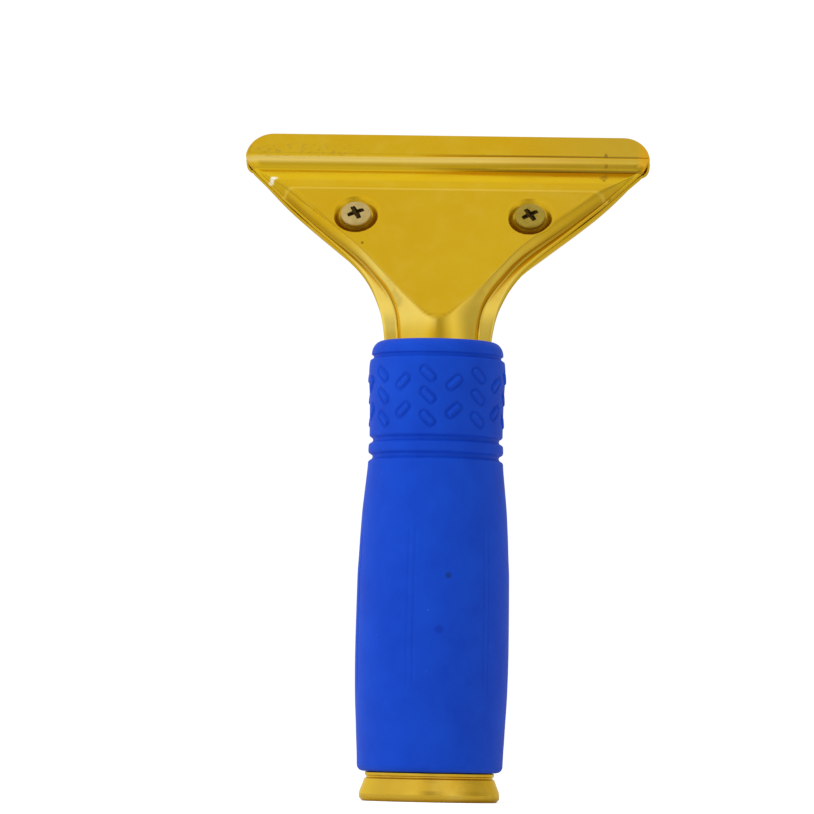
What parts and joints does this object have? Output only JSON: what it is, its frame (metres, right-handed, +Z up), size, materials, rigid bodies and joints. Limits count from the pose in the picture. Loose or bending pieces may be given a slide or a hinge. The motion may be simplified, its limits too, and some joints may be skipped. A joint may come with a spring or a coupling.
{
  "type": "hand scraper",
  "caption": "T-shaped brass scraper with a bent-back clamp head, a blade stored in its jaw, cross-recess clamp screws and a rubber grip over a tube handle.",
  "frame": {"origin": "centre of the handle's open bottom mouth, on the ferrule's bottom rim plane", "axes": "+Z up the handle axis, -Y towards the front face with the screw heads, +X along the jaw to the right when facing the front"},
  "size_m": [0.1062, 0.0557, 0.1749],
  "materials": {
    "brass_shell": "polished, fine scratches",
    "brass_trim": "polished",
    "screw_plating": "yellow zinc plate",
    "spring_steel": "satin",
    "blade_steel": "ground",
    "stop_plastic": "moulded",
    "blue_rubber": "matte moulded"
  },
  "bodies": {
    "handle": {"rear_shell": "brass_shell", "handle_tube": "brass_trim", "end_ferrule": "brass_trim", "rubber_grip": "blue_rubber", "socket_stop": "stop_plastic", "neck_rivet_lower": "brass_trim", "neck_rivet_upper": "brass_trim", "clamp_nut_left": "screw_plating", "clamp_nut_right": "screw_plating"},
    "clamp_plate": {"front_clamp_plate": "brass_shell"},
    "left_washer": {"lock_washer_left": "spring_steel"},
    "left_screw": {"clamp_screw_left": "screw_plating"},
    "right_washer": {"lock_washer_right": "spring_steel"},
    "right_screw": {"clamp_screw_right": "screw_plating"},
    "blade": {"scraper_blade": "blade_steel", "blade_spine": "brass_trim"}
  },
  "joints": [
    {"name": "clamp_open", "type": "hinge", "parent": "handle", "child": "clamp_plate", "pos_m": [0, 0, 0.111], "axis": [1, 0, 0], "range_deg": [0, 3]},
    {"name": "left_screw_travel", "type": "slide", "parent": "handle", "child": "left_washer", "axis": [0, -0.8192, 0.5736], "range_m": [0, 0.0024]},
    {"name": "left_screw_turn", "type": "hinge", "parent": "left_washer", "child": "left_screw", "pos_m": [-0.0226, 0.01689, 0.14816], "axis": [0, -0.8192, 0.5736], "range_deg": [0, 1215]},
    {"name": "right_screw_travel", "type": "slide", "parent": "handle", "child": "right_washer", "axis": [0, -0.8192, 0.5736], "range_m": [0, 0.0024]},
    {"name": "right_screw_turn", "type": "hinge", "parent": "right_washer", "child": "right_screw", "pos_m": [0.0226, 0.01689, 0.14816], "axis": [0, -0.8192, 0.5736], "range_deg": [0, 1215]},
    {"name": "blade_slide", "type": "slide", "parent": "handle", "child": "blade", "axis": [1, 0, 0], "range_m": [0, 0.105]}
  ],
  "couplings": [
    {"joint": "left_screw_travel", "follows": "clamp_open", "m_per_rad": 0.0448},
    {"joint": "right_screw_travel", "follows": "clamp_open", "m_per_rad": 0.0448},
    {"joint": "left_screw_turn", "follows": "clamp_open", "ratio": 402.12},
    {"joint": "right_screw_turn", "follows": "clamp_open", "ratio": 402.12}
  ]
}
